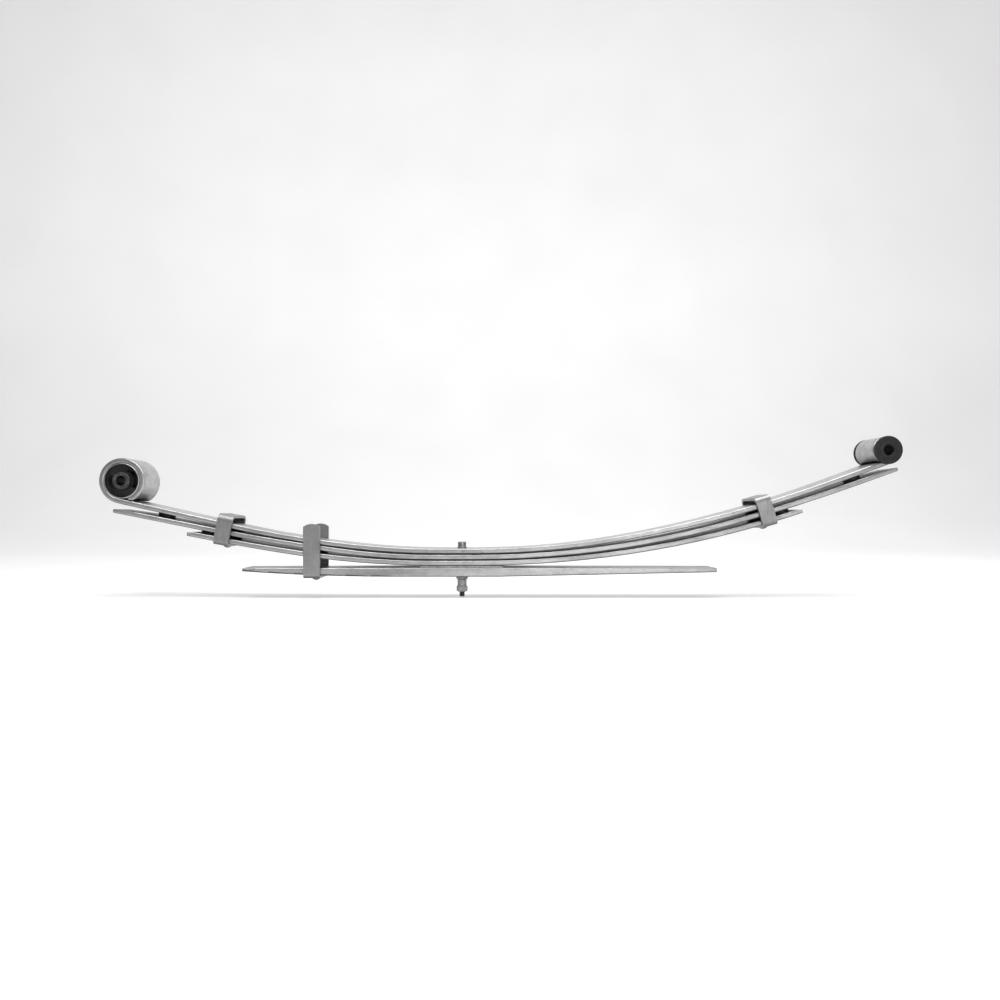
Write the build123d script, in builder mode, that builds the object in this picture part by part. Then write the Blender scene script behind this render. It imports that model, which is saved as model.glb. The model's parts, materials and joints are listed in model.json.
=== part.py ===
"""Rear leaf spring of a light truck: three spring leaves, an overload leaf, clips, bushes and hardware.

Frame: +X runs to the rear (shackle) eye, Y across the leaves, +Z up.
The origin is on the centre bolt's axis at the axle seat, the underside of the overload leaf.
Millimetres throughout.
"""

import os
from math import acos, asin, cos, degrees, radians, sin, tan

from build123d import *

os.makedirs("parts", exist_ok=True)

# ---------- leaves ----------
leaf_width = 60.0
leaf_thickness = 8.8
leaf_edge_radius = 3.0
liner_thickness = 1.3
spacer_thickness = 3.2
overload_thickness = 15.8

# heights of the stack at the centre bolt, from the axle seat up
spacer_base = overload_thickness
third_top = spacer_base + spacer_thickness + leaf_thickness
second_top = third_top + liner_thickness + leaf_thickness
main_top = second_top + liner_thickness + leaf_thickness

# each arm: the flat half length, then (top face radius, turn in degrees) for its bends
main_front_arm = (39.0, [(1226.0, 5.04), (1851.0, 7.58)])
main_rear_arm = (23.0, [(1446.0, 9.88), (2099.0, 10.29)])
second_front_arm = (52.0, [(1119.0, 7.45), (3555.0, 3.9)])
second_rear_arm = (24.5, [(1629.0, 15.56), (3037.0, 4.14)])
third_front_arm = (46.6, [(1540.0, 8.57), (3683.0, 2.7)])
third_rear_arm = (25.0, [(1747.0, 17.2), (1300.0, 1.2)])

# how far each leaf reaches from the centre bolt
main_front_reach = 582.6
main_rear_reach = 726.2
second_front_reach = 589.0
second_rear_reach = 737.0
third_front_reach = 464.0
third_rear_reach = 576.0
second_tip_taper = 50.0
third_tip_taper = 11.0
tip_thinning = 2.6

front_eye_radius = 30.0
rear_eye_radius = 15.0
eye_end_gap = 1.5
eye_end_thickness = 3.7
bolt_hole_radius = 5.3

# ---------- overload leaf ----------
overload_front_reach = 372.0
overload_rear_reach = 433.0
overload_seat_front = 110.0
overload_seat_rear = 60.0
overload_front_tip = 5.6
overload_rear_tip = 7.5
overload_front_dip = 1.0
overload_rear_dip = 0.6
overload_top_radius = 2.4
overload_bottom_radius = 3.4

# ---------- centre bolt stack ----------
spacer_length = 142.0
liner_length = 42.0
bolt_radius = 5.0
thread_root_radius = 4.7
bolt_head_radius = 7.2
bolt_head_height = 10.7
bolt_head_base_radius = 8.4
bolt_head_base_height = 2.6
washer_radius = 10.6
washer_thickness = 3.0
collar_flange_radius = 10.4
collar_flange_thickness = 3.6
collar_radius = 8.2
collar_length = 14.8
nut_across_flats = 17.0
nut_height = 9.6
bolt_end = -35.7

# ---------- front bush ----------
fit_gap = 0.05
sleeve_wall = 1.6
outer_sleeve_length = 59.0
front_rubber_length = 50.0
inner_sleeve_radius = 16.0
inner_sleeve_bore = 8.0
inner_sleeve_length = 64.0
kidney_inner_radius = 17.6
kidney_outer_radius = 25.2

# ---------- rear bush ----------
rear_flange_radius = 24.0
rear_flange_thickness = 6.2
rear_bush_bore = 9.0

# ---------- clips ----------
strap_thickness = 4.4
rebound_strap_width = 25.0
rebound_side_gap = 0.5
rebound_bend_radius = 3.2
front_clip_station = 405.0
front_clip_headroom = 9.0
front_clip_top_bend = 8.0
front_clip_seam = 1.0
rear_clip_station = 519.0
rear_clip_headroom = 7.0
rear_clip_top_bend = 6.5
rear_clip_seam = 8.0
seam_width = 1.1
guide_strap_width = 28.0
guide_station = 253.0
guide_base = 2.1
guide_top = 90.0
guide_ear_crown = 5.2
guide_side_gap = 0.6
guide_bend_radius = 3.2
rivet_radius = 4.0
rivet_head_radius = 8.0
rivet_head_height = 5.4
rivet_sink_radius = 6.2

# ---------- anti-friction pads at the leaf ends ----------
pad_radius = 14.0
pad_stub_radius = 4.0
pad_stub_length = 5.0
pad_lift = 0.15
second_front_pad = 512.0
second_rear_pad = 676.0
third_front_pad = 437.5
third_rear_pad = 552.0


def bend_points(arm, top):
    """Where an arm's bends start and end on its top face: (distance, height, angle, radius)."""
    flat, bends = arm
    points = [(flat, top, 0.0, None)]
    for radius, turn in bends:
        distance, height, angle, _ = points[-1]
        end = angle + radians(turn)
        distance += radius * (sin(end) - sin(angle))
        height += radius * (cos(angle) - cos(end))
        points.append((distance, height, end, radius))
    return points


def top_face_at(arm, top, distance):
    """Height and angle of an arm's top face at a distance from the centre bolt."""
    points = bend_points(arm, top)
    if distance <= points[0][0]:
        return top, 0.0
    for start, end in zip(points, points[1:]):
        if distance <= end[0]:
            angle = asin(sin(start[2]) + (distance - start[0]) / end[3])
            return start[1] + end[3] * (cos(start[2]) - cos(angle)), angle
    last = points[-1]
    return last[1] + (distance - last[0]) * tan(last[2]), last[2]


def lie_plane(side, arm, top, distance, depth=0.0):
    """Plane lying in a leaf at a distance: x outwards along it, z square out of its top face."""
    height, angle = top_face_at(arm, top, distance)
    outwards = Vector(side * cos(angle), 0, sin(angle))
    upwards = Vector(-side * sin(angle), 0, cos(angle))
    origin = Vector(side * distance, 0, height) - upwards * depth
    return Plane(origin=origin, x_dir=outwards, z_dir=upwards)


def cross_plane(side, arm, top, distance, depth=0.0):
    """Plane cutting square across a leaf at a distance: x across the leaf, y square out of its top face."""
    lying = lie_plane(side, arm, top, distance, depth)
    return Plane(origin=lying.origin, x_dir=(0, 1, 0), z_dir=Vector(0, 1, 0).cross(lying.z_dir))


def rise_to(side, origin, upwards, arm, top):
    """Distance from a point to another leaf's top face, measured along a direction."""
    distance = abs(origin.X)
    along = Vector(0, 1, 0).cross(upwards)
    for _ in range(10):
        height, _ = top_face_at(arm, top, distance)
        reach = Vector(side * distance, 0, height) - origin
        distance -= side * reach.dot(along) / along.X
    return reach.dot(upwards)


def sweep_arm(side, arm, top, reach):
    """Sweeps one arm of a leaf outwards from the centre bolt."""
    flat, bends = arm
    middle_height = top - leaf_thickness / 2
    with BuildLine(Plane.XZ) as middle:
        last = Line((0, middle_height), (side * flat, middle_height))
        for radius, turn in bends:
            last = JernArc(
                start=last @ 1,
                tangent=last % 1,
                radius=radius + leaf_thickness / 2,
                arc_size=side * turn,
            )
        Line(last @ 1, lie_plane(side, arm, top, reach, leaf_thickness / 2).origin)
    with BuildSketch(Plane(origin=(0, 0, middle_height), x_dir=(0, 1, 0), z_dir=(side, 0, 0))) as section:
        RectangleRounded(leaf_width, leaf_thickness, leaf_edge_radius)
    sweep(section.sketch, path=middle.wires()[0])


def eye_centre(side, arm, reach, inner_radius):
    """Centre of the upturned eye rolled at the end of one arm of the main leaf."""
    start = lie_plane(side, arm, main_top, reach)
    return start.origin + start.z_dir * inner_radius


def roll_eye(side, arm, reach, inner_radius):
    """Rolls an eye up and back until its end rests just above the leaf."""
    end = lie_plane(side, arm, main_top, reach, leaf_thickness / 2)
    centre = eye_centre(side, arm, reach, inner_radius)
    with BuildSketch(Plane(origin=end.origin, x_dir=(0, 1, 0), z_dir=end.x_dir)) as section:
        RectangleRounded(leaf_width, leaf_thickness, leaf_edge_radius)
    rest_angle = degrees(acos((inner_radius - eye_end_gap) / (inner_radius + eye_end_thickness)))
    revolve(section.sketch, axis=Axis(centre, (0, -side, 0)), revolution_arc=360 - rest_angle)
    rest = Plane(
        origin=end.origin + end.z_dir * (leaf_thickness / 2 + eye_end_gap),
        x_dir=end.x_dir,
        z_dir=end.z_dir,
    )
    with BuildSketch(rest) as trim:
        with Locations((-2 * inner_radius, 0)):
            Rectangle(4 * inner_radius, 2 * leaf_width)
    extrude(trim.sketch, amount=-3 * leaf_thickness, mode=Mode.SUBTRACT)


def drill(plane, radius, depth):
    """Drills a round hole down into a leaf from a plane lying in it."""
    with BuildSketch(plane.offset(1)) as hole:
        Circle(radius)
    extrude(hole.sketch, amount=-depth - 1, mode=Mode.SUBTRACT)


def thin_tip(side, arm, top, reach, taper):
    """Tapers the top face of a leaf towards its tip."""
    start = lie_plane(side, arm, top, reach - taper)
    with BuildSketch(Plane(origin=start.origin, x_dir=start.x_dir, z_dir=(0, -side, 0))) as shaving:
        with BuildLine():
            Polyline((0, 0), (2 * taper, -2 * tip_thinning), (2 * taper, 20), (0, 20), close=True)
        make_face()
    extrude(shaving.sketch, amount=leaf_width, both=True, mode=Mode.SUBTRACT)


def rivet_hole(plane, depth):
    """Drills a countersunk rivet hole from the top face of a leaf."""
    with Locations(plane):
        CounterSinkHole(
            radius=rivet_radius + fit_gap,
            counter_sink_radius=rivet_sink_radius + fit_gap,
            depth=depth,
        )
    drill(plane, rivet_sink_radius + fit_gap, 0.01)


def pad_hole(side, arm, top, distance):
    """Drills the blind hole that a pad's stub snaps into."""
    drill(lie_plane(side, arm, top, distance), pad_stub_radius + fit_gap, pad_stub_length + 0.3)


def bolt_hole(top, depth):
    """Drills the centre bolt's hole."""
    drill(Plane.XY.offset(top), bolt_hole_radius, depth)


def finish_part(part, name, colour):
    """Labels a part and writes its file."""
    part.label = name
    part.color = Color(*colour)
    export_step(part, f"parts/{name}.step")


steel = (0.62, 0.63, 0.64)
strap_steel = (0.52, 0.53, 0.54)
dark_steel = (0.3, 0.3, 0.31)
rubber = (0.08, 0.08, 0.085)

# ---------- main leaf ----------
with BuildPart() as main_leaf:
    roll_eye(-1, main_front_arm, main_front_reach, front_eye_radius)
    roll_eye(1, main_rear_arm, main_rear_reach, rear_eye_radius)
    sweep_arm(-1, main_front_arm, main_top, main_front_reach)
    sweep_arm(1, main_rear_arm, main_top, main_rear_reach)
    bolt_hole(main_top, leaf_thickness)
finish_part(main_leaf.part, "main_leaf", steel)

# ---------- second leaf ----------
with BuildPart() as second_leaf:
    sweep_arm(-1, second_front_arm, second_top, second_front_reach)
    sweep_arm(1, second_rear_arm, second_top, second_rear_reach)
    thin_tip(-1, second_front_arm, second_top, second_front_reach, second_tip_taper)
    thin_tip(1, second_rear_arm, second_top, second_rear_reach, 0.7 * second_tip_taper)
    bolt_hole(second_top, leaf_thickness)
    pad_hole(-1, second_front_arm, second_top, second_front_pad)
    pad_hole(1, second_rear_arm, second_top, second_rear_pad)
finish_part(second_leaf.part, "second_leaf", steel)

# ---------- third leaf ----------
front_clip_lie = lie_plane(-1, third_front_arm, third_top, front_clip_station)
rear_clip_lie = lie_plane(1, third_rear_arm, third_top, rear_clip_station)
with BuildPart() as third_leaf:
    sweep_arm(-1, third_front_arm, third_top, third_front_reach)
    sweep_arm(1, third_rear_arm, third_top, third_rear_reach)
    thin_tip(-1, third_front_arm, third_top, third_front_reach, third_tip_taper)
    thin_tip(1, third_rear_arm, third_top, third_rear_reach, third_tip_taper)
    bolt_hole(third_top, leaf_thickness)
    rivet_hole(front_clip_lie, leaf_thickness + 1)
    rivet_hole(rear_clip_lie, leaf_thickness + 1)
    pad_hole(-1, third_front_arm, third_top, third_front_pad)
    pad_hole(1, third_rear_arm, third_top, third_rear_pad)
finish_part(third_leaf.part, "third_leaf", steel)

# ---------- overload leaf ----------
front_tip_top = overload_thickness - overload_front_dip
rear_tip_top = overload_thickness - overload_rear_dip
front_tip_base = front_tip_top - overload_front_tip
rear_tip_base = rear_tip_top - overload_rear_tip
guide_share = (guide_station - overload_seat_front) / (overload_front_reach - overload_seat_front)
guide_leaf_top = overload_thickness - overload_front_dip * guide_share
with BuildPart() as overload_leaf:
    with BuildSketch(Plane.XZ):
        with BuildLine():
            seat = Line((-overload_seat_front, 0), (overload_seat_rear, 0))
            rear_base = Line(seat @ 1, (overload_rear_reach, rear_tip_base))
            rear_end = Line(rear_base @ 1, (overload_rear_reach, rear_tip_top))
            rear_top = Line(rear_end @ 1, (overload_seat_rear, overload_thickness))
            seat_top = Line(rear_top @ 1, (-overload_seat_front, overload_thickness))
            front_top = Line(seat_top @ 1, (-overload_front_reach, front_tip_top))
            front_end = Line(front_top @ 1, (-overload_front_reach, front_tip_base))
            TangentArc(seat @ 0, front_end @ 1, tangent=(-1, 0, 0))
        make_face()
    extrude(amount=leaf_width / 2, both=True)
    sides = overload_leaf.faces().filter_by(Axis.Y)
    base_edges = [
        edge
        for edge in sides.edges()
        if edge.center().Z < overload_thickness / 2 and edge.length > overload_thickness
    ]
    top_edges = [
        edge
        for edge in sides.edges()
        if edge.center().Z > overload_thickness / 2 and edge.length > overload_thickness
    ]
    fillet(base_edges, overload_bottom_radius)
    fillet(top_edges, overload_top_radius)
    bolt_hole(overload_thickness, overload_thickness)
    guide_lie = Plane(origin=(-guide_station, 0, guide_leaf_top), x_dir=(1, 0, 0), z_dir=(0, 0, 1))
    rivet_hole(guide_lie, overload_thickness + 1)
finish_part(overload_leaf.part, "overload_leaf", steel)

# ---------- plates between the leaves at the centre bolt ----------
with BuildPart() as centre_spacer:
    with BuildSketch(Plane.XY.offset(spacer_base)):
        RectangleRounded(spacer_length, leaf_width - 1.0, 2.0)
        Circle(bolt_hole_radius, mode=Mode.SUBTRACT)
    extrude(amount=spacer_thickness)
finish_part(centre_spacer.part, "centre_spacer", dark_steel)


def add_liner(base):
    """Thin friction liner clamped between two leaves."""
    with BuildSketch(Plane.XY.offset(base)) as outline:
        RectangleRounded(liner_length, leaf_width - 2.0, 3.0)
        Circle(bolt_hole_radius, mode=Mode.SUBTRACT)
    extrude(outline.sketch, amount=liner_thickness)


with BuildPart() as lower_centre_liner:
    add_liner(third_top)
finish_part(lower_centre_liner.part, "lower_centre_liner", rubber)

with BuildPart() as upper_centre_liner:
    add_liner(second_top)
finish_part(upper_centre_liner.part, "upper_centre_liner", rubber)

# ---------- centre bolt and its hardware ----------
with BuildPart() as centre_bolt:
    with BuildSketch(Plane.XZ):
        with BuildLine():
            Polyline(
                (0, bolt_end),
                (thread_root_radius - 1.0, bolt_end),
                (bolt_radius, bolt_end + 1.3),
                (bolt_radius, main_top),
                (bolt_head_base_radius, main_top),
                (bolt_head_base_radius, main_top + 1.0),
                (bolt_head_radius, main_top + bolt_head_base_height),
                (bolt_head_radius, main_top + bolt_head_height - 0.8),
                (bolt_head_radius - 0.8, main_top + bolt_head_height),
                (0, main_top + bolt_head_height),
                close=True,
            )
        make_face()
    revolve(axis=Axis.Z)
finish_part(centre_bolt.part, "centre_bolt", dark_steel)

with BuildPart() as bolt_washer:
    with BuildSketch(Plane.XY):
        Circle(washer_radius)
        Circle(bolt_radius + 0.2, mode=Mode.SUBTRACT)
    extrude(amount=-washer_thickness)
    chamfer(bolt_washer.edges().filter_by(GeomType.CIRCLE).sort_by(SortBy.RADIUS)[-2:], 0.4)
finish_part(bolt_washer.part, "bolt_washer", dark_steel)

collar_base = -washer_thickness - collar_length
with BuildPart() as locating_collar:
    with BuildSketch(Plane.XZ):
        with BuildLine():
            Polyline(
                (bolt_radius + 0.2, -washer_thickness),
                (collar_flange_radius, -washer_thickness),
                (collar_flange_radius, -washer_thickness - 0.55 * collar_flange_thickness),
                (collar_radius, -washer_thickness - collar_flange_thickness),
                (collar_radius, collar_base + 0.6),
                (collar_radius - 0.6, collar_base),
                (bolt_radius + 0.2, collar_base),
                close=True,
            )
        make_face()
    revolve(axis=Axis.Z)
finish_part(locating_collar.part, "locating_collar", dark_steel)

nut_base = collar_base - nut_height
nut_corner_radius = nut_across_flats / 2 / cos(radians(30))
with BuildPart() as centre_nut:
    with BuildSketch(Plane.XY.offset(collar_base)):
        RegularPolygon(nut_across_flats / 2, 6, major_radius=False)
        Circle(bolt_radius + fit_gap, mode=Mode.SUBTRACT)
    extrude(amount=-nut_height)
    with BuildSketch(Plane.XZ):
        with BuildLine():
            Polyline(
                (nut_across_flats / 2 - 0.4, nut_base - 1),
                (nut_across_flats / 2 - 0.4, nut_base),
                (nut_corner_radius + 0.1, nut_base + 1.6),
                (nut_corner_radius + 3, nut_base + 1.6),
                (nut_corner_radius + 3, nut_base - 1),
                close=True,
            )
        make_face()
    revolve(axis=Axis.Z, mode=Mode.SUBTRACT)
finish_part(centre_nut.part, "centre_nut", dark_steel)

# ---------- front bush ----------
front_centre = eye_centre(-1, main_front_arm, main_front_reach, front_eye_radius)
rear_centre = eye_centre(1, main_rear_arm, main_rear_reach, rear_eye_radius)
front_eye_plane = Plane(origin=front_centre, x_dir=(1, 0, 0), z_dir=(0, -1, 0))
sleeve_outer_radius = front_eye_radius - fit_gap
sleeve_inner_radius = sleeve_outer_radius - sleeve_wall

with BuildPart() as front_bush_outer_sleeve:
    with BuildSketch(front_eye_plane):
        Circle(sleeve_outer_radius)
        Circle(sleeve_inner_radius, mode=Mode.SUBTRACT)
    extrude(amount=outer_sleeve_length / 2, both=True)
    chamfer(front_bush_outer_sleeve.edges().filter_by(GeomType.CIRCLE).sort_by(SortBy.RADIUS)[-2:], 0.7)
finish_part(front_bush_outer_sleeve.part, "front_bush_outer_sleeve", dark_steel)

kidney_middle = (kidney_inner_radius + kidney_outer_radius) / 2
kidney_width = kidney_outer_radius - kidney_inner_radius
with BuildPart() as front_bush_rubber:
    with BuildSketch(front_eye_plane):
        Circle(sleeve_inner_radius)
        Circle(inner_sleeve_radius + fit_gap, mode=Mode.SUBTRACT)
        with BuildLine():
            CenterArc((0, 0), kidney_middle, 152, 86)
        trace(line_width=kidney_width, mode=Mode.SUBTRACT)
        with BuildLine():
            CenterArc((0, 0), kidney_middle, -34, 103)
        trace(line_width=kidney_width, mode=Mode.SUBTRACT)
    extrude(amount=front_rubber_length / 2, both=True)
finish_part(front_bush_rubber.part, "front_bush_rubber", rubber)

with BuildPart() as front_bush_inner_sleeve:
    with BuildSketch(front_eye_plane):
        Circle(inner_sleeve_radius)
        Circle(inner_sleeve_bore, mode=Mode.SUBTRACT)
    extrude(amount=inner_sleeve_length / 2, both=True)
    rims = front_bush_inner_sleeve.edges().filter_by(GeomType.CIRCLE).sort_by(SortBy.RADIUS)
    chamfer(rims[-2:], length=1.6, length2=3.0)
finish_part(front_bush_inner_sleeve.part, "front_bush_inner_sleeve", dark_steel)


# ---------- rear bush, one half from each side ----------
def add_rear_half(side):
    """Flanged half bush pushed into the rear eye from one side."""
    barrel_radius = rear_eye_radius - fit_gap
    flange_start = leaf_width / 2 + 0.3
    flange_end = leaf_width / 2 + rear_flange_thickness
    with BuildSketch(Plane(origin=rear_centre, x_dir=(1, 0, 0), z_dir=(0, 0, 1))) as profile:
        with BuildLine():
            Polyline(
                (rear_bush_bore, side * 0.5),
                (barrel_radius - 0.8, side * 0.5),
                (barrel_radius, side * 2.0),
                (barrel_radius, side * flange_start),
                (rear_flange_radius - 1.2, side * flange_start),
                (rear_flange_radius, side * (flange_start + 1.2)),
                (rear_flange_radius, side * (flange_end - 1.2)),
                (rear_flange_radius - 1.2, side * flange_end),
                (rear_bush_bore + 0.8, side * flange_end),
                (rear_bush_bore, side * (flange_end - 0.8)),
                close=True,
            )
        make_face()
    revolve(profile.sketch, axis=Axis(rear_centre, (0, 1, 0)))


with BuildPart() as rear_bush_near_half:
    add_rear_half(-1)
finish_part(rear_bush_near_half.part, "rear_bush_near_half", rubber)

with BuildPart() as rear_bush_far_half:
    add_rear_half(1)
finish_part(rear_bush_far_half.part, "rear_bush_far_half", rubber)


# ---------- rebound clips ----------
def bent_outline(width, height, low_bend, top_bend):
    """Rectangle standing on the sketch's x axis, with one bend radius for its feet and one for its top."""
    with BuildSketch() as outline:
        Rectangle(width, height, align=(Align.CENTER, Align.MIN))
        fillet(outline.vertices().group_by(Axis.Y)[0], low_bend)
        fillet(outline.vertices().group_by(Axis.Y)[-1], top_bend)
    return outline.sketch


def add_rebound_clip(section, inner_height, top_bend, seam):
    """Strap bent round the leaves, its two ends meeting on top."""
    inner_width = leaf_width + 2 * rebound_side_gap
    outer_width = inner_width + 2 * strap_thickness
    outside = bent_outline(
        outer_width,
        inner_height + 2 * strap_thickness,
        rebound_bend_radius + strap_thickness,
        top_bend + strap_thickness,
    )
    inside = bent_outline(inner_width, inner_height, rebound_bend_radius, top_bend)
    with BuildSketch(section) as strap:
        add(Location((0, -strap_thickness)) * outside)
        add(inside, mode=Mode.SUBTRACT)
        with Locations((seam, inner_height + strap_thickness / 2)):
            Rectangle(seam_width, 2 * strap_thickness, mode=Mode.SUBTRACT)
    extrude(strap.sketch, amount=rebound_strap_width / 2, both=True)
    base = Plane(origin=section.origin, x_dir=section.z_dir, z_dir=section.y_dir)
    drill(base, rivet_radius + fit_gap, 2 * strap_thickness)


def add_rivet(section, top_height, head_base):
    """Rivet with a domed head below and a countersunk end flush with the leaf's top face."""
    sink_depth = (rivet_sink_radius - rivet_radius) / tan(radians(41))
    with BuildSketch(section) as profile:
        with BuildLine():
            ThreePointArc(
                (0, head_base - rivet_head_height),
                (0.72 * rivet_head_radius, head_base - 0.62 * rivet_head_height),
                (rivet_head_radius, head_base),
            )
            Polyline(
                (rivet_head_radius, head_base),
                (rivet_radius, head_base),
                (rivet_radius, top_height - sink_depth),
                (rivet_sink_radius, top_height - 0.05),
                (0, top_height - 0.05),
                (0, head_base - rivet_head_height),
            )
        make_face()
    revolve(profile.sketch, axis=Axis(section.origin, section.y_dir))


clip_drop = leaf_thickness + fit_gap
front_clip_section = cross_plane(-1, third_front_arm, third_top, front_clip_station, clip_drop)
rear_clip_section = cross_plane(1, third_rear_arm, third_top, rear_clip_station, clip_drop)
front_pack_height = rise_to(
    -1, front_clip_section.origin, front_clip_section.y_dir, main_front_arm, main_top
)
rear_pack_height = rise_to(
    1, rear_clip_section.origin, rear_clip_section.y_dir, main_rear_arm, main_top
)

with BuildPart() as front_rebound_clip:
    add_rebound_clip(
        front_clip_section,
        front_pack_height + front_clip_headroom,
        front_clip_top_bend,
        front_clip_seam,
    )
finish_part(front_rebound_clip.part, "front_rebound_clip", strap_steel)

with BuildPart() as rear_rebound_clip:
    add_rebound_clip(
        rear_clip_section,
        rear_pack_height + rear_clip_headroom,
        rear_clip_top_bend,
        rear_clip_seam,
    )
finish_part(rear_rebound_clip.part, "rear_rebound_clip", strap_steel)

with BuildPart() as front_clip_rivet:
    add_rivet(front_clip_section, clip_drop, -strap_thickness)
finish_part(front_clip_rivet.part, "front_clip_rivet", dark_steel)

with BuildPart() as rear_clip_rivet:
    add_rivet(rear_clip_section, clip_drop, -strap_thickness)
finish_part(rear_clip_rivet.part, "rear_clip_rivet", dark_steel)

# ---------- guide clip on the overload leaf ----------
guide_section = Plane(origin=(-guide_station, 0, guide_base), x_dir=(0, 1, 0), z_dir=(1, 0, 0))
guide_inner_half = leaf_width / 2 + guide_side_gap
guide_outer_half = guide_inner_half + strap_thickness
guide_leg_height = guide_top - guide_base
guide_shoulder = guide_top - guide_ear_crown
with BuildPart() as guide_clip:
    with BuildSketch(guide_section) as guide_profile:
        with Locations((0, guide_leg_height / 2 - strap_thickness / 2)):
            Rectangle(2 * guide_outer_half, guide_leg_height + strap_thickness)
        outer_corners = guide_profile.vertices().group_by(Axis.Y)[0]
        fillet(outer_corners, guide_bend_radius + strap_thickness)
        with Locations((0, guide_leg_height / 2 + guide_bend_radius)):
            Rectangle(2 * guide_inner_half, guide_leg_height, mode=Mode.SUBTRACT)
        with Locations((0, 2 * guide_bend_radius)):
            RectangleRounded(
                2 * guide_inner_half, 4 * guide_bend_radius, guide_bend_radius, mode=Mode.SUBTRACT
            )
    extrude(amount=guide_strap_width / 2, both=True)
    with BuildSketch(Plane.XZ):
        with BuildLine():
            ear_left = -guide_station - guide_strap_width / 2 - 0.01
            ear_right = -guide_station + guide_strap_width / 2 + 0.01
            ThreePointArc(
                (ear_left, guide_shoulder), (-guide_station, guide_top - 0.01), (ear_right, guide_shoulder)
            )
            Polyline(
                (ear_right, guide_shoulder),
                (ear_right, guide_top + 5),
                (ear_left, guide_top + 5),
                (ear_left, guide_shoulder),
            )
        make_face()
    extrude(amount=leaf_width, both=True, mode=Mode.SUBTRACT)
    drill(Plane.XY.offset(guide_base).move(Location((-guide_station, 0, 0))), rivet_radius + fit_gap, 9)
finish_part(guide_clip.part, "guide_clip", strap_steel)

with BuildPart() as guide_clip_rivet:
    add_rivet(guide_section, guide_leaf_top - guide_base, -strap_thickness)
finish_part(guide_clip_rivet.part, "guide_clip_rivet", dark_steel)


# ---------- anti-friction pads at the leaf ends ----------
def add_pad(side, lower_arm, lower_top, distance, upper_arm, upper_top):
    """Round pad on the lower leaf's end that the leaf above slides on, with a stub into the lower leaf."""
    lie = lie_plane(side, lower_arm, lower_top, distance)
    gaps = []
    for offset in (-pad_radius, pad_radius):
        rim = lie.origin + lie.x_dir * offset
        gaps.append(rise_to(side, rim, lie.z_dir, upper_arm, upper_top) - leaf_thickness - 0.3)
    with BuildSketch(lie.offset(pad_lift)) as disc:
        Circle(pad_radius)
    extrude(disc.sketch, amount=min(gaps) - pad_lift - fit_gap)
    with BuildSketch(lie.offset(pad_lift)) as stub:
        Circle(pad_stub_radius)
    extrude(stub.sketch, amount=-pad_stub_length)


with BuildPart() as second_leaf_front_pad:
    add_pad(-1, second_front_arm, second_top, second_front_pad, main_front_arm, main_top)
finish_part(second_leaf_front_pad.part, "second_leaf_front_pad", rubber)

with BuildPart() as second_leaf_rear_pad:
    add_pad(1, second_rear_arm, second_top, second_rear_pad, main_rear_arm, main_top)
finish_part(second_leaf_rear_pad.part, "second_leaf_rear_pad", rubber)

with BuildPart() as third_leaf_front_pad:
    add_pad(-1, third_front_arm, third_top, third_front_pad, second_front_arm, second_top)
finish_part(third_leaf_front_pad.part, "third_leaf_front_pad", rubber)

with BuildPart() as third_leaf_rear_pad:
    add_pad(1, third_rear_arm, third_top, third_rear_pad, second_rear_arm, second_top)
finish_part(third_leaf_rear_pad.part, "third_leaf_rear_pad", rubber)
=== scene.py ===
"""Looks for the leaf spring: fine meshes for the leaves, bolt and bushes, and a material for every piece.

Row frame in metres: +X to the rear eye, Y across the leaves, +Z up, the origin at the axle seat.
"""

import json
import math

import bmesh
import bpy
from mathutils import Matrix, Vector

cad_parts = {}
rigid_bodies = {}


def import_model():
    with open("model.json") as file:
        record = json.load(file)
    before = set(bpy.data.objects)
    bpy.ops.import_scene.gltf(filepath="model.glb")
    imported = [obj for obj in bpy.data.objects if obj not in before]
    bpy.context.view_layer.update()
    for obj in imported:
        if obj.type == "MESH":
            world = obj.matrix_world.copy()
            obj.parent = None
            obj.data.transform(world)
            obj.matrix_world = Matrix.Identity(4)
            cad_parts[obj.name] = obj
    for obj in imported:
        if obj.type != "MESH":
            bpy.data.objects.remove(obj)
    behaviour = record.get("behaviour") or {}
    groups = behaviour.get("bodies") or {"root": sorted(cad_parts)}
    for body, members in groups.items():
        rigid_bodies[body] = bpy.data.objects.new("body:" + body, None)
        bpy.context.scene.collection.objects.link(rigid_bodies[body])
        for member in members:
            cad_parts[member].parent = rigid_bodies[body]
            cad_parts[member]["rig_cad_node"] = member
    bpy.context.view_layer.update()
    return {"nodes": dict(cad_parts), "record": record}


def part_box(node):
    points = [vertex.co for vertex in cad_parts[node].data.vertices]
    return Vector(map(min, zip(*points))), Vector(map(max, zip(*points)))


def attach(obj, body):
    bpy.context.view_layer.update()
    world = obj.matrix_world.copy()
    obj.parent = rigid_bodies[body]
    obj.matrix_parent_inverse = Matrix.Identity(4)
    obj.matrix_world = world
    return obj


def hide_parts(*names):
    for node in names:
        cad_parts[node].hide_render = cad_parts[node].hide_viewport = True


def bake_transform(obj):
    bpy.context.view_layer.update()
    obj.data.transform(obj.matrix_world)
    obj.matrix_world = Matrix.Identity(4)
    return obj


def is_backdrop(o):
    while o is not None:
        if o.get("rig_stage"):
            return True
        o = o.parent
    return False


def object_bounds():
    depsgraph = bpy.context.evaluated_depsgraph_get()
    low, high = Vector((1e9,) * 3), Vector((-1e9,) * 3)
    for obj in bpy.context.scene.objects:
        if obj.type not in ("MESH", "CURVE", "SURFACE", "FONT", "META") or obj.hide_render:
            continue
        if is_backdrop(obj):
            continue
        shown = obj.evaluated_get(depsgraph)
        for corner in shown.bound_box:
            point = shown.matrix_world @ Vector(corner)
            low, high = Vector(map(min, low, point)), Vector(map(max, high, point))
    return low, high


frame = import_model()
nodes = frame["nodes"]

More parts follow.
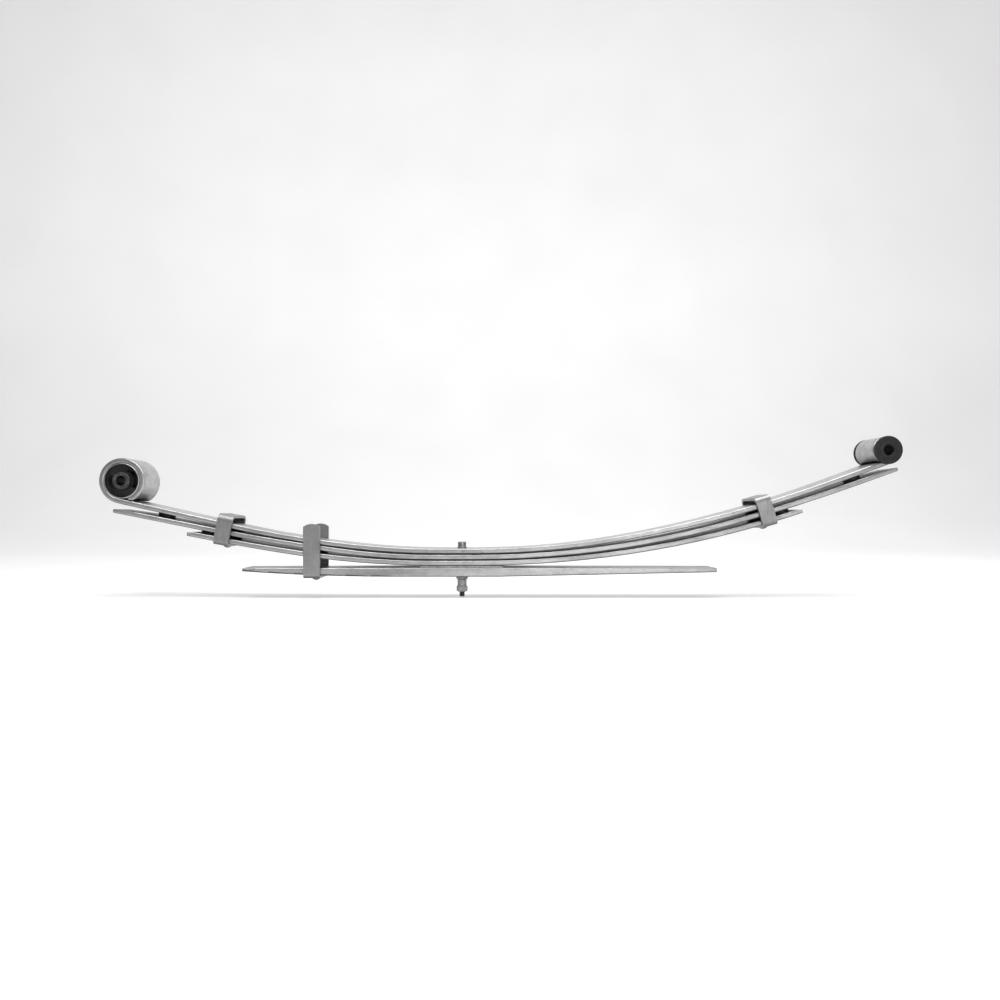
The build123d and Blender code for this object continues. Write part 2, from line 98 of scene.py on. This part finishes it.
# Radii of the front bush's bore and of the front eye, inside the leaf.
front_bore_radius = 0.008
front_eye_radius = 0.030


def box_centre(node):
    """Middle of a CAD node's box."""
    lowest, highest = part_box(node)
    return (lowest + highest) / 2


# ---------- shader helpers ----------
class Shader:
    """A material's node tree, with short calls for the nodes that the materials here share."""

    def __init__(self, name, **sockets):
        self.material = bpy.data.materials.new(name)
        self.material.use_nodes = True
        self.tree = self.material.node_tree
        self.surface = self.tree.nodes["Principled BSDF"]
        coordinates = self.tree.nodes.new("ShaderNodeTexCoord")
        self.where = coordinates.outputs["Object"]
        self.facing = coordinates.outputs["Normal"]
        for socket, value in sockets.items():
            self.surface.inputs[socket.replace("_", " ")].default_value = value

    def feed(self, socket, source):
        """Links an output to a socket, or sets a plain value on it."""
        if isinstance(source, bpy.types.NodeSocket):
            self.tree.links.new(source, socket)
        elif isinstance(source, tuple) and len(source) == 3 and socket.type == "RGBA":
            socket.default_value = (*source, 1)
        else:
            socket.default_value = source

    def noise(self, scale, detail=4.0, roughness=0.55, stretch=(1, 1, 1), distortion=0.0):
        """Fractal noise from 0 to 1 over the row frame, stretched along the axes with small factors."""
        mapping = self.tree.nodes.new("ShaderNodeMapping")
        mapping.inputs["Scale"].default_value = stretch
        self.feed(mapping.inputs["Vector"], self.where)
        noise = self.tree.nodes.new("ShaderNodeTexNoise")
        self.feed(noise.inputs["Vector"], mapping.outputs["Vector"])
        noise.inputs["Scale"].default_value = scale
        noise.inputs["Detail"].default_value = detail
        noise.inputs["Roughness"].default_value = roughness
        noise.inputs["Distortion"].default_value = distortion
        return noise.outputs["Fac"]

    def cells(self, scale):
        """Distance to the nearest of scattered points."""
        cells = self.tree.nodes.new("ShaderNodeTexVoronoi")
        self.feed(cells.inputs["Vector"], self.where)
        cells.inputs["Scale"].default_value = scale
        return cells.outputs["Distance"]

    def ramp(self, source, low, high, start=0.0, end=1.0):
        """Maps a value from low..high to start..end, clamped."""
        node = self.tree.nodes.new("ShaderNodeMapRange")
        self.feed(node.inputs["Value"], source)
        for socket, value in (("From Min", low), ("From Max", high), ("To Min", start), ("To Max", end)):
            node.inputs[socket].default_value = value
        return node.outputs["Result"]

    def mix(self, factor, first, second):
        """Mixes two colours. A Mix node's colour sockets come after its number and vector sockets."""
        node = self.tree.nodes.new("ShaderNodeMix")
        node.data_type = "RGBA"
        self.feed(node.inputs["Factor"], factor)
        self.feed(node.inputs[6], first)
        self.feed(node.inputs[7], second)
        return node.outputs[2]

    def maths(self, operation, first, second):
        """A sum or product of two values."""
        node = self.tree.nodes.new("ShaderNodeMath")
        node.operation = operation
        self.feed(node.inputs[0], first)
        self.feed(node.inputs[1], second)
        return node.outputs[0]

    def bump(self, height, distance, strength=1.0, under=None):
        """A bumped normal, laid over another bump if one is given."""
        node = self.tree.nodes.new("ShaderNodeBump")
        node.inputs["Strength"].default_value = strength
        node.inputs["Distance"].default_value = distance
        self.feed(node.inputs["Height"], height)
        if under is not None:
            self.feed(node.inputs["Normal"], under)
        return node.outputs["Normal"]

    def underside(self):
        """0 on upright and upper surfaces, rising to 1 on those that face down: the mask for the painted
        shade on undersides.
        """
        split = self.tree.nodes.new("ShaderNodeSeparateXYZ")
        self.feed(split.inputs["Vector"], self.facing)
        return self.ramp(split.outputs["Z"], -0.2, -0.8)

    def gap_shade_mask(self, reach):
        """0 in the open, rising to 1 in gaps narrower than the reach: the mask for the painted shade
        between parts.
        """
        node = self.tree.nodes.new("ShaderNodeAmbientOcclusion")
        node.inputs["Distance"].default_value = reach
        node.samples = 8
        return self.ramp(node.outputs["AO"], 0.62, 0.18)

    def paint_shade(self, colour, reach, underside_shade_share, gap_shade_share):
        """Painted shade on the undersides and in the gaps between parts, laid over a colour."""
        underside_shade = self.maths("MULTIPLY", self.underside(), underside_shade_share)
        gap_shade = self.maths("MULTIPLY", self.gap_shade_mask(reach), gap_shade_share)
        return self.mix(gap_shade, self.mix(underside_shade, colour, underside_shade_colour), gap_shade_colour)

    def finish(self, colour, roughness, normal):
        """Wires the surface and returns the material."""
        self.feed(self.surface.inputs["Base Color"], colour)
        self.feed(self.surface.inputs["Roughness"], roughness)
        self.feed(self.surface.inputs["Normal"], normal)
        return self.material


def grey(value):
    """A neutral colour."""
    return (value, value, value)


# Colour of the painted shade on undersides.
underside_shade_colour = grey(0.05)
# Colour of the painted shade in the gaps between parts.
gap_shade_colour = grey(0.012)


def leaf_steel(name, light, dark):
    """Satin silver coat over shot-peened spring steel: mottled, streaked along X, with small dark pits."""
    s = Shader(name, Metallic=0.75)
    broad = s.noise(11, 6, 0.65, distortion=0.5)
    streaks = s.noise(60, 6, 0.62, stretch=(0.07, 1, 1))
    grain = s.noise(1400, 3, 0.6)
    peen = s.cells(620)
    pits = s.ramp(s.noise(240, 5, 0.7, distortion=0.8), 0.30, 0.37, 1.0, 0.0)
    blotches = s.noise(105, 6, 0.7, stretch=(0.5, 1, 1), distortion=0.7)
    colour = s.mix(s.ramp(broad, 0.3, 0.7), grey(dark), grey(light))
    colour = s.mix(s.ramp(blotches, 0.52, 0.36, 0.0, 0.4), colour, grey(dark * 0.6))
    colour = s.mix(s.ramp(blotches, 0.56, 0.68, 0.0, 0.35), colour, grey(light * 1.2))
    colour = s.mix(s.ramp(streaks, 0.38, 0.66, 0.0, 0.35), colour, grey(light * 1.1))
    colour = s.mix(s.ramp(streaks, 0.48, 0.32, 0.0, 0.4), colour, grey(dark * 0.55))
    colour = s.mix(s.ramp(grain, 0.3, 0.7, 0.0, 0.2), colour, grey(dark * 0.6))
    colour = s.mix(s.maths("MULTIPLY", pits, 0.75), colour, grey(0.05))
    # Painted shade: darker on the undersides and in the gaps between parts.
    colour = s.paint_shade(colour, reach=0.016, underside_shade_share=0.85, gap_shade_share=0.9)
    roughness = s.ramp(s.maths("ADD", broad, streaks), 0.6, 1.4, 0.46, 0.27)
    normal = s.bump(s.ramp(peen, 0.0, 0.9), 0.00008, 0.5)
    normal = s.bump(grain, 0.00006, 0.5, normal)
    normal = s.bump(pits, -0.00015, 0.6, normal)
    return s.finish(colour, roughness, normal)


def strap_steel(name):
    """Bent strap: darker brushed steel with scratches up the strap and rubbed patches."""
    s = Shader(name, Metallic=0.6)
    broad = s.noise(38, 5, 0.6)
    brushed = s.noise(700, 5, 0.7, stretch=(1, 1, 0.05))
    scratches = s.ramp(s.noise(420, 3, 0.5, stretch=(1, 1, 0.03)), 0.63, 0.7)
    grain = s.noise(1500, 3, 0.6)
    colour = s.mix(s.ramp(broad, 0.32, 0.68), grey(0.22), grey(0.34))
    colour = s.mix(s.ramp(brushed, 0.35, 0.65, 0.0, 0.5), colour, grey(0.42))
    colour = s.mix(s.maths("MULTIPLY", scratches, 0.5), colour, grey(0.44))
    colour = s.mix(s.ramp(grain, 0.62, 0.4, 0.0, 0.3), colour, grey(0.09))
    # Painted shade: darker on the undersides and in the gaps between parts.
    colour = s.paint_shade(colour, reach=0.012, underside_shade_share=0.8, gap_shade_share=0.8)
    roughness = s.ramp(brushed, 0.3, 0.7, 0.52, 0.34)
    normal = s.bump(brushed, 0.00012, 0.55)
    normal = s.bump(grain, 0.00005, 0.5, normal)
    return s.finish(colour, roughness, normal)


def hardware_steel(name, light, dark):
    """Dull plated fastener steel with darker handling marks."""
    s = Shader(name, Metallic=0.85)
    broad = s.noise(120, 5, 0.65, distortion=0.5)
    grain = s.noise(2200, 3, 0.6)
    marks = s.ramp(s.noise(330, 4, 0.7), 0.58, 0.68)
    colour = s.mix(s.ramp(broad, 0.3, 0.7), grey(dark), grey(light))
    colour = s.mix(s.maths("MULTIPLY", marks, 0.6), colour, grey(dark * 0.45))
    # Painted shade: darker on the undersides and in the gaps between parts.
    colour = s.paint_shade(colour, reach=0.008, underside_shade_share=0.6, gap_shade_share=0.8)
    roughness = s.ramp(broad, 0.3, 0.7, 0.48, 0.28)
    normal = s.bump(grain, 0.00004, 0.5)
    normal = s.bump(broad, 0.0002, 0.35, normal)
    return s.finish(colour, roughness, normal)


def bush_steel(name, axis_at, bore_radius, rim_radius):
    """Dark bush steel round one axis, with painted shade (near black) at the bore and a painted highlight
    ring just inside the outer rim.
    """
    s = Shader(name, Metallic=0.8)
    offset = s.tree.nodes.new("ShaderNodeVectorMath")
    offset.operation = "SUBTRACT"
    s.feed(offset.inputs[0], s.where)
    offset.inputs[1].default_value = axis_at
    flatten = s.tree.nodes.new("ShaderNodeVectorMath")
    flatten.operation = "MULTIPLY"
    s.feed(flatten.inputs[0], offset.outputs["Vector"])
    flatten.inputs[1].default_value = (1, 0, 1)
    distance = s.tree.nodes.new("ShaderNodeVectorMath")
    distance.operation = "LENGTH"
    s.feed(distance.inputs[0], flatten.outputs["Vector"])
    radius = distance.outputs["Value"]
    broad = s.noise(150, 5, 0.65, distortion=0.5)
    grain = s.noise(2200, 3, 0.6)
    colour = s.mix(s.ramp(broad, 0.3, 0.7), grey(0.04), grey(0.10))
    # Painted highlight: a bright ring just inside the eye's rim radius.
    colour = s.mix(s.ramp(radius, rim_radius - 0.0016, rim_radius - 0.0010), colour, grey(0.62))
    # Painted shade: near black at the bore.
    colour = s.mix(s.ramp(radius, bore_radius + 0.0010, bore_radius + 0.0003), colour, grey(0.012))
    roughness = s.ramp(broad, 0.3, 0.7, 0.5, 0.32)
    normal = s.bump(grain, 0.00004, 0.5)
    normal = s.bump(broad, 0.0002, 0.35, normal)
    return s.finish(colour, roughness, normal)


def rubber(name, light, dark, roughness_low=0.5):
    """Moulded rubber or plastic: fine grain, a paler bloom in patches and light specks."""
    s = Shader(name, Specular_IOR_Level=0.4)
    bloom = s.noise(85, 5, 0.62, distortion=0.6)
    grain = s.noise(1700, 4, 0.65)
    specks = s.ramp(s.noise(700, 2, 0.5), 0.68, 0.74)
    colour = s.mix(s.ramp(bloom, 0.35, 0.72), grey(dark), grey(light))
    colour = s.mix(s.maths("MULTIPLY", specks, 0.4), colour, grey(light * 2.2))
    roughness = s.ramp(bloom, 0.3, 0.7, roughness_low, roughness_low + 0.22)
    normal = s.bump(grain, 0.00009, 0.6)
    normal = s.bump(bloom, 0.0005, 0.3, normal)
    return s.finish(colour, roughness, normal)


floor_glow = 0.42


def floor_paint(name):
    """Pale matt studio floor with faint mottling, lit evenly from behind like a light table."""
    s = Shader(name, Specular_IOR_Level=0.1, Emission_Color=(1, 1, 1, 1), Emission_Strength=floor_glow)
    mottle = s.noise(3, 4, 0.5)
    colour = s.mix(s.ramp(mottle, 0.3, 0.7), grey(0.60), grey(0.64))
    return s.finish(colour, s.ramp(mottle, 0.3, 0.7, 0.85, 0.95), s.bump(mottle, 0.0005, 0.05))


looks = {
    "spring_steel": leaf_steel("spring_steel", 0.52, 0.34),
    "strap_steel": strap_steel("strap_steel"),
    "hardware_steel": hardware_steel("hardware_steel", 0.36, 0.2),
    "bush_steel": bush_steel(
        "bush_steel", box_centre("front_bush_inner_sleeve"), front_bore_radius, front_eye_radius
    ),
    "rubber": rubber("rubber", 0.022, 0.008),
    "liner": rubber("liner", 0.04, 0.015, 0.4),
}

slots = {row["node"]: row["material_slot"] for row in frame["record"]["subparts"]}


def dress(piece, slot):
    """Gives a piece the look of its slot."""
    piece.data.materials.clear()
    piece.data.materials.append(looks[slot])


# ---------- mesh helpers ----------
def smooth(piece, angle):
    """Smooth shading with edges sharper than the angle kept crisp, and flat faces kept flat."""
    piece.data.shade_smooth()
    piece.data.set_sharp_from_angle(angle=math.radians(angle))
    weighted = piece.modifiers.new("flat faces", "WEIGHTED_NORMAL")
    weighted.keep_sharp = True


def new_piece(name, mesh_builder, slot, angle=35):
    """A mesh object made from a filled bmesh."""
    mesh = bpy.data.meshes.new(name)
    bmesh.ops.recalc_face_normals(mesh_builder, faces=mesh_builder.faces)
    mesh_builder.to_mesh(mesh)
    mesh_builder.free()
    piece = bpy.data.objects.new(name, mesh)
    bpy.context.scene.collection.objects.link(piece)
    dress(piece, slot)
    smooth(piece, angle)
    return piece


def lathe(name, centre, axis, profile, slot, segments=96, shape=None, angle=35):
    """Turns a closed outline of (radius, distance along the axis) points round an axis through the centre.

    shape(index, angle, radius, along) may change each point, such as for teeth or a thread.
    """
    along = Vector(axis).normalized()
    across = along.orthogonal().normalized()
    other = along.cross(across)
    mesh = bmesh.new()
    rings = []
    for step in range(segments):
        turn = 2 * math.pi * step / segments
        outward = across * math.cos(turn) + other * math.sin(turn)
        ring = []
        for index, (radius, distance) in enumerate(profile):
            if shape:
                radius, distance = shape(index, turn, radius, distance)
            ring.append(mesh.verts.new(Vector(centre) + outward * radius + along * distance))
        rings.append(ring)
    count = len(profile)
    for step in range(segments):
        here, after = rings[step], rings[(step + 1) % segments]
        for index in range(count):
            following = (index + 1) % count
            mesh.faces.new((here[index], here[following], after[following], after[index]))
    bmesh.ops.remove_doubles(mesh, verts=mesh.verts, dist=1e-7)
    bmesh.ops.dissolve_degenerate(mesh, dist=1e-8, edges=mesh.edges)
    return new_piece(name, mesh, slot, angle)


# ---------- spring leaves, each in two arms ------------------------------------
slice_length = 0.008
weld_distance = 2e-6
middle_tolerance = 1e-7
slice_tolerance = 1e-6

# Each end's side of the bolt, its body, and where its bend starts and ends along X.
arm_blends = {
    "front": (-1, "front_end", 0.045, 0.375),
    "rear": (1, "rear_end", 0.050, 0.490),
}


def leaf_arm(leaf, end):
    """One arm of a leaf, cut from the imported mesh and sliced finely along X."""
    side, body, bend_start, bend_end = arm_blends[end]
    mesh = bmesh.new()
    mesh.from_mesh(nodes[leaf].data)
    bmesh.ops.remove_doubles(mesh, verts=mesh.verts, dist=weld_distance)
    bmesh.ops.bisect_plane(
        mesh,
        geom=mesh.verts[:] + mesh.edges[:] + mesh.faces[:],
        dist=middle_tolerance,
        plane_co=(0, 0, 0),
        plane_no=(side, 0, 0),
        clear_inner=True,
    )
    open_edges = [edge for edge in mesh.edges if edge.is_boundary]
    bmesh.ops.triangle_fill(mesh, edges=open_edges, use_beauty=True)
    reach = max(abs(vert.co.x) for vert in mesh.verts)
    for step in range(1, int(reach / slice_length) + 1):
        bmesh.ops.bisect_plane(
            mesh,
            geom=mesh.verts[:] + mesh.edges[:] + mesh.faces[:],
            dist=slice_tolerance,
            plane_co=(side * step * slice_length, 0, 0),
            plane_no=(1, 0, 0),
        )
    piece = new_piece(f"{leaf}_{end}_arm", mesh, "spring_steel")
    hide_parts(leaf)
    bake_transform(piece)


for leaf in ("main_leaf", "second_leaf", "third_leaf"):
    for end in arm_blends:
        leaf_arm(leaf, end)

# ---------- centre bolt with a cut thread ----------
bolt_low, bolt_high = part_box("centre_bolt")
thread_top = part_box("overload_leaf")[0].z
main_leaf_top = 0.048
bolt_radius = 0.005
bolt_end_taper = 0.0012
bolt_end_height = 0.0008
bolt_segments = 64
bolt_sharp_angle = 50
thread_pitch = 0.0015
thread_depth = 0.0009
thread_skim = 0.0001
thread_steps = 8
thread_lead_in = 0.0015
thread_fade_end = 0.003
thread_run_out = 0.002
head_radius = 0.0072
head_base_radius = 0.0084
head_lift = 0.00005
head_base_height = 0.0030
head_edge = 0.0010
head_dish_radius = 0.0040


def bolt_profile():
    """Outline of the bolt from its pointed end up through the thread, the shank and the round head."""
    points = [(0.0, bolt_low.z), (bolt_radius - bolt_end_taper, bolt_low.z)]
    rise = thread_pitch / thread_steps
    count = int((thread_top - 2 * thread_run_out - bolt_low.z) / rise)
    thread_start = bolt_low.z + bolt_end_height
    points += [(bolt_radius - thread_skim, thread_start + rise * step) for step in range(count)]
    threaded = range(2, 2 + count)
    top = bolt_high.z
    points += [
        (bolt_radius, thread_top - thread_run_out),
        (bolt_radius, main_leaf_top + head_lift),
        (head_base_radius - 0.0003, main_leaf_top + head_lift),
        (head_base_radius, main_leaf_top + 0.0004),
        (head_base_radius - 0.0001, main_leaf_top + 0.0011),
        (head_radius + 0.0003, main_leaf_top + 0.0024),
        (head_radius, main_leaf_top + head_base_height),
        (head_radius, top - 0.0011),
        (head_radius - 0.0003, top - 0.0004),
        (head_radius - head_edge, top),
        (head_radius - 0.0032, top),
        (head_radius - head_dish_radius, top - 0.0002),
        (0.0, top - 0.0003),
    ]
    return points, threaded


bolt_outline, thread_indices = bolt_profile()


def cut_thread(index, turn, radius, along):
    """Cuts a V thread into the lower shank, fading at its ends."""
    if index not in thread_indices:
        return radius, along
    phase = (along / thread_pitch - turn / (2 * math.pi)) % 1.0
    groove = 1 - abs(2 * phase - 1)
    start_fade = min(1.0, (along - bolt_low.z) / thread_lead_in)
    end_fade = min(1.0, max(0.0, (thread_top - thread_fade_end - along) / thread_run_out))
    return radius - thread_depth * groove * start_fade * end_fade, along


centre_bolt = lathe(
    "threaded_centre_bolt",
    (0, 0, 0),
    (0, 0, 1),
    bolt_outline,
    "hardware_steel",
    bolt_segments,
    cut_thread,
    bolt_sharp_angle,
)
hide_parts("centre_bolt")
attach(centre_bolt, "seat")

# ---------- front bush's inner sleeve with toothed ends ----------
sleeve_low, sleeve_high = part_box("front_bush_inner_sleeve")
sleeve_half = (sleeve_high.y - sleeve_low.y) / 2
sleeve_radius = (sleeve_high.x - sleeve_low.x) / 2
teeth = 36
segments_per_tooth = 6
tooth_depth = 0.0006
toothed_length = 0.0005
bore_chamfer = 0.0008
rim_chamfer = 0.0016
rim_flat = 0.0022
rim_slope_length = 0.0034
rim_edge = 0.0004

# The end from the bore out to the barrel, as radii with distances in from the end face.
sleeve_end = [
    (front_bore_radius, bore_chamfer),
    (front_bore_radius + bore_chamfer, 0.0),
    (sleeve_radius - rim_flat, 0.0),
    (sleeve_radius - rim_chamfer, rim_edge),
    (sleeve_radius, rim_slope_length),
]
sleeve_profile = [(radius, inset - sleeve_half) for radius, inset in sleeve_end]
sleeve_profile += [(radius, sleeve_half - inset) for radius, inset in reversed(sleeve_end)]


def cut_teeth(index, turn, radius, along):
    """Radial V teeth pressed into both end faces."""
    if abs(along) < sleeve_half - toothed_length:
        return radius, along
    phase = (turn * teeth / (2 * math.pi)) % 1.0
    drop = tooth_depth * (1 - abs(2 * phase - 1))
    return radius, along - math.copysign(drop, along)


inner_sleeve = lathe(
    "toothed_inner_sleeve",
    box_centre("front_bush_inner_sleeve"),
    (0, 1, 0),
    sleeve_profile,
    "bush_steel",
    teeth * segments_per_tooth,
    cut_teeth,
)
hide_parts("front_bush_inner_sleeve")
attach(inner_sleeve, "front_inner_sleeve")

# ---------- rear bush halves with a raised ring round the bore ----------
rear_eye = (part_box("rear_bush_near_half")[0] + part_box("rear_bush_far_half")[1]) / 2
rear_barrel_radius = 0.01495
rear_bore_radius = 0.009
half_gap = 0.0006
flange_start = 0.0303
ring_width = 0.0040
for name, side in (("near", -1), ("far", 1)):
    node = f"rear_bush_{name}_half"
    low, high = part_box(node)
    flange_end = max(abs(low.y), abs(high.y))
    flange_radius = (high.x - low.x) / 2
    half_profile = [
        (rear_bore_radius, half_gap),
        (rear_barrel_radius - 0.0008, half_gap),
        (rear_barrel_radius, 0.0020),
        (rear_barrel_radius, flange_start),
        (flange_radius - 0.0014, flange_start),
        (flange_radius - 0.0004, flange_start + 0.0004),
        (flange_radius, flange_start + 0.0014),
        (flange_radius, flange_end - 0.0020),
        (flange_radius - 0.0006, flange_end - 0.0009),
        (flange_radius - 0.0020, flange_end - 0.0004),
        (rear_bore_radius + ring_width + 0.0012, flange_end - 0.0009),
        (rear_bore_radius + ring_width + 0.0006, flange_end - 0.0002),
        (rear_bore_radius + ring_width, flange_end),
        (rear_bore_radius + 0.0009, flange_end),
        (rear_bore_radius, flange_end - 0.0009),
    ]
    half = lathe(
        f"moulded_rear_bush_{name}",
        (rear_eye.x, 0, rear_eye.z),
        (0, side, 0),
        half_profile,
        "rubber",
    )
    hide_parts(node)
    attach(half, "rear_bush")

# ---------- CAD nodes that keep their shape, with broken edges ----------
sharp_edge_angle = 50
edge_rounding = {
    "front_rebound_clip": 0.0006,
    "rear_rebound_clip": 0.0006,
    "guide_clip": 0.0007,
    "front_bush_rubber": 0.0012,
    "centre_nut": 0.0003,
    "centre_spacer": 0.0004,
    "second_leaf_front_pad": 0.0006,
    "second_leaf_rear_pad": 0.0006,
    "third_leaf_front_pad": 0.0006,
    "third_leaf_rear_pad": 0.0006,
}
for name, node in nodes.items():
    dress(node, slots[name])
for name, width in edge_rounding.items():
    bevel = nodes[name].modifiers.new("broken edges", "BEVEL")
    bevel.width = width
    bevel.segments = 2
    bevel.limit_method = "ANGLE"
    bevel.angle_limit = math.radians(sharp_edge_angle)

# ---------- studio ----------
floor_height = -0.0365
floor_front = -4.0
floor_half_width = 8
wall_height = 6.0
backdrop_depth = 2.6
backdrop_radius = 1.2
backdrop_steps = 24
room_brightness = 0.10


def build_backdrop():
    """Floor that curves up into a wall, far wider than the view."""
    mesh = bmesh.new()
    curve_start = backdrop_depth - backdrop_radius
    outline = [(floor_front, floor_height), (curve_start, floor_height)]
    for step in range(1, backdrop_steps + 1):
        turn = math.radians(90 * step / backdrop_steps)
        rise = backdrop_radius * (1 - math.cos(turn))
        outline.append((curve_start + backdrop_radius * math.sin(turn), floor_height + rise))
    outline.append((backdrop_depth, wall_height))
    left = [mesh.verts.new((-floor_half_width, y, z)) for y, z in outline]
    right = [mesh.verts.new((floor_half_width, y, z)) for y, z in outline]
    for step in range(len(outline) - 1):
        mesh.faces.new((left[step], right[step], right[step + 1], left[step + 1]))
    data = bpy.data.meshes.new("backdrop")
    mesh.to_mesh(data)
    mesh.free()
    data.shade_smooth()
    data.materials.append(floor_paint("floor_paint"))
    backdrop = bpy.data.objects.new("backdrop", data)
    bpy.context.scene.collection.objects.link(backdrop)
    backdrop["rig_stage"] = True


def area_light(name, position, target, width, depth, power):
    """Soft rectangular light aimed at a point, with its power in watts."""
    light = bpy.data.lights.new(name, "AREA")
    light.shape = "RECTANGLE"
    light.size = width
    light.size_y = depth
    light.energy = power
    lamp = bpy.data.objects.new(name, light)
    bpy.context.scene.collection.objects.link(lamp)
    lamp.location = position
    lamp.visible_camera = False
    lamp.rotation_mode = "QUATERNION"
    lamp.rotation_quaternion = (Vector(target) - Vector(position)).to_track_quat("-Z", "Y")


build_backdrop()
area_light("overhead", (0.15, -0.25, 1.5), (0.05, 0, 0.05), width=2.4, depth=0.8, power=40)
area_light("wall_wash", (0, 0.3, 2.3), (0, 1.3, 2.1), width=5.0, depth=0.3, power=40)
area_light("front_softbox", (0.70, -1.75, 0.36), (0.48, 0, 0.09), width=1.2, depth=0.4, power=8)

world = bpy.data.worlds.new("studio")
world.use_nodes = True
room = world.node_tree.nodes["Background"]
room.inputs["Color"].default_value = (1, 1, 1, 1)
room.inputs["Strength"].default_value = room_brightness
bpy.context.scene.world = world
bpy.context.scene.view_settings.view_transform = "Standard"
bpy.context.scene.view_settings.look = "None"

camera_data = bpy.data.cameras.new("camera")
camera_data.sensor_width = 36
camera_data.lens = 25.3
camera_data.shift_x = 0.012
camera_data.shift_y = 0.015
camera = bpy.data.objects.new("camera", camera_data)
bpy.context.scene.collection.objects.link(camera)
camera.location = (0.045, -1.220, 0.105)
camera.rotation_euler = (math.radians(90), 0, 0)
bpy.context.scene.camera = camera

low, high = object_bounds()
